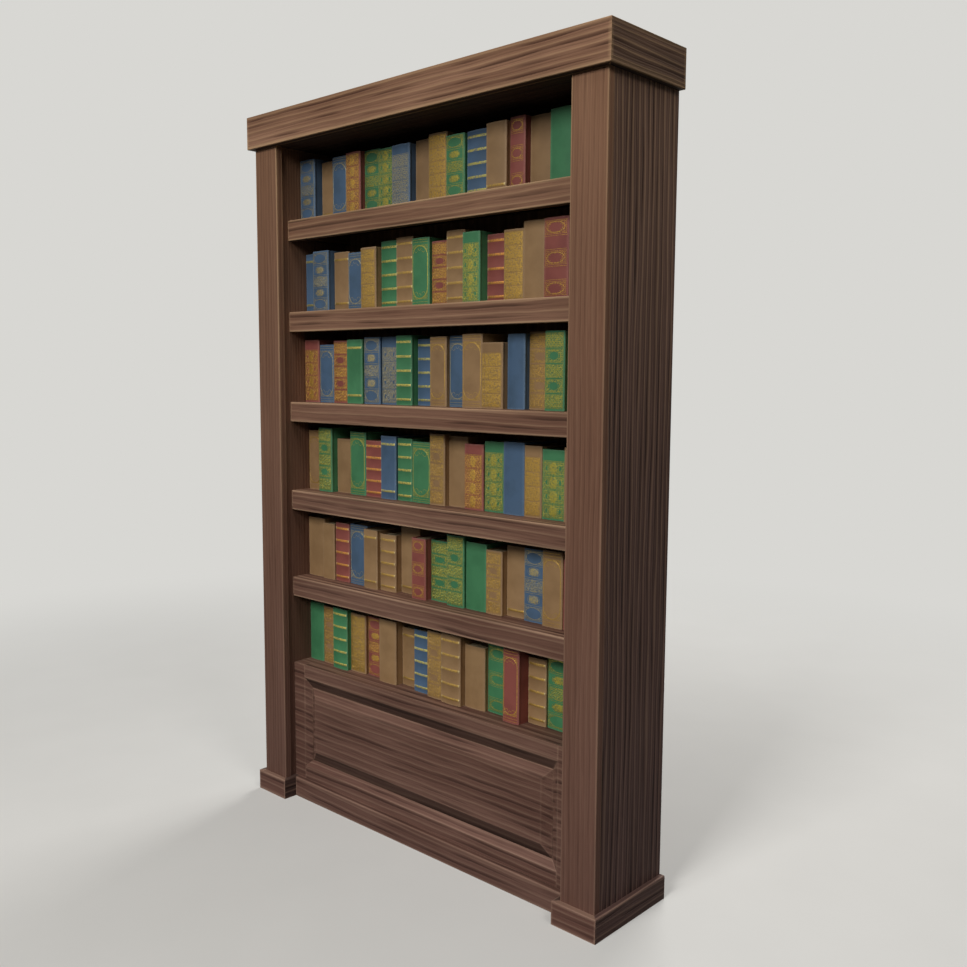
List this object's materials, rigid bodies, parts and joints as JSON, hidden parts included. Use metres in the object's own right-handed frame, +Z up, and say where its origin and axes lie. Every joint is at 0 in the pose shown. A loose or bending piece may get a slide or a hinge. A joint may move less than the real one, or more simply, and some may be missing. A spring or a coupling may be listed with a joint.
{
  "type": "bookcase",
  "caption": "Tall walnut-brown bookcase with boxed cornice, plain pilaster sides, fixed shelves full of gilt-tooled books and a raised panel at the foot.",
  "frame": {"origin": "on the floor, below the middle of the whole outline", "axes": "+X to the right as one faces the shelves, +Y to the back, +Z up"},
  "size_m": [1.41, 0.313, 2.2],
  "materials": {
    "case_wood": "satin",
    "back_wood": "matte",
    "inner_wood": "sawn",
    "nail_steel": "dark oxide",
    "book_covers": "satin",
    "book_pages": "matte"
  },
  "bodies": {
    "bookcase": {"back_boards": "back_wood", "back_nails": "nail_steel", "baseboard": "case_wood", "cornice_back_rail": "inner_wood", "cornice_blocks": "inner_wood", "cornice_cap": "inner_wood", "cornice_front": "case_wood", "deck_board": "case_wood", "frame_bottom_rail": "case_wood", "frame_left_stile": "case_wood", "frame_right_stile": "case_wood", "frame_top_rail": "case_wood", "left_cornice_return": "case_wood", "left_front_stile": "case_wood", "left_plinth_front": "case_wood", "left_plinth_return": "case_wood", "left_plinth_side": "case_wood", "left_side_lining": "case_wood", "left_side_panel": "case_wood", "page_blocks": "book_pages", "raised_panel": "case_wood", "right_cornice_return": "case_wood", "right_front_stile": "case_wood", "right_plinth_front": "case_wood", "right_plinth_return": "case_wood", "right_plinth_side": "case_wood", "right_side_lining": "case_wood", "right_side_panel": "case_wood", "row_1_book_cases": "book_covers", "row_2_book_cases": "book_covers", "row_3_book_cases": "book_covers", "row_4_book_cases": "book_covers", "row_5_book_cases": "book_covers", "row_6_book_cases": "book_covers", "shelf_1": "case_wood", "shelf_1_edge": "case_wood", "shelf_2": "case_wood", "shelf_2_edge": "case_wood", "shelf_3": "case_wood", "shelf_3_edge": "case_wood", "shelf_4": "case_wood", "shelf_4_edge": "case_wood", "shelf_5": "case_wood", "shelf_5_edge": "case_wood", "shelf_cleats": "inner_wood", "side_battens": "inner_wood", "top_board": "case_wood"},
    "row_1_loose_book": {"row_1_loose_book_case": "book_covers", "row_1_loose_book_pages": "book_pages"},
    "row_2_loose_book": {"row_2_loose_book_case": "book_covers", "row_2_loose_book_pages": "book_pages"},
    "row_3_loose_book": {"row_3_loose_book_case": "book_covers", "row_3_loose_book_pages": "book_pages"},
    "row_4_loose_book": {"row_4_loose_book_case": "book_covers", "row_4_loose_book_pages": "book_pages"},
    "row_5_loose_book": {"row_5_loose_book_case": "book_covers", "row_5_loose_book_pages": "book_pages"},
    "row_6_loose_book": {"row_6_loose_book_case": "book_covers", "row_6_loose_book_pages": "book_pages"}
  },
  "joints": [
    {"name": "row_1_loose_book_slide", "type": "slide", "parent": "bookcase", "child": "row_1_loose_book", "axis": [0, -1, 0], "range_m": [0, 0.111]},
    {"name": "row_2_loose_book_slide", "type": "slide", "parent": "bookcase", "child": "row_2_loose_book", "axis": [0, -1, 0], "range_m": [0, 0.115]},
    {"name": "row_3_loose_book_slide", "type": "slide", "parent": "bookcase", "child": "row_3_loose_book", "axis": [0, -1, 0], "range_m": [0, 0.105]},
    {"name": "row_4_loose_book_slide", "type": "slide", "parent": "bookcase", "child": "row_4_loose_book", "axis": [0, -1, 0], "range_m": [0, 0.127]},
    {"name": "row_5_loose_book_slide", "type": "slide", "parent": "bookcase", "child": "row_5_loose_book", "axis": [0, -1, 0], "range_m": [0, 0.116]},
    {"name": "row_6_loose_book_slide", "type": "slide", "parent": "bookcase", "child": "row_6_loose_book", "axis": [0, -1, 0], "range_m": [0, 0.115]}
  ]
}
